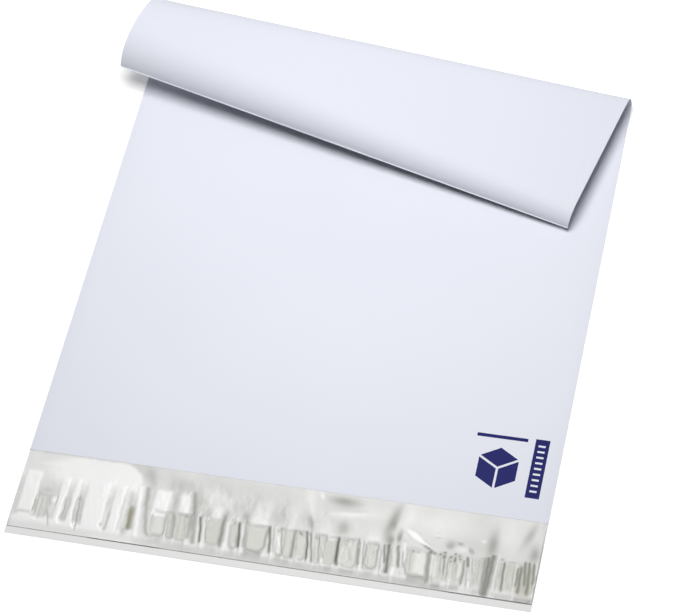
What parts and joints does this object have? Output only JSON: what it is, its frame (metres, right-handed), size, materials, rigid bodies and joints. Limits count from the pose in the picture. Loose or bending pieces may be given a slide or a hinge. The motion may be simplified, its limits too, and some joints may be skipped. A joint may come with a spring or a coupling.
{
  "type": "poly mailer bag",
  "caption": "White plastic film shipping bag lying flat, closed end curled over its front panel, with a self-seal flap, adhesive strip and clear release liner.",
  "frame": {"origin": "on the flat underside, on the bag's centre line, 120 mm above the edge of the mouth", "axes": "+Y up the bag from the flap to the closed end, +Z out of the front panel, +X across the bag to the right as the flap faces the viewer"},
  "size_m": [0.2661, 0.3102, 0.0281],
  "materials": {
    "film_white": "cool white opaque film with a satin sheen",
    "adhesive_clear": "clear tacky adhesive with a faint olive tint",
    "liner_clear": "glossy cloudy clear film"
  },
  "bodies": {
    "root": {"bag": "film_white", "adhesive_strip": "adhesive_clear", "release_liner": "liner_clear"}
  },
  "joints": []
}
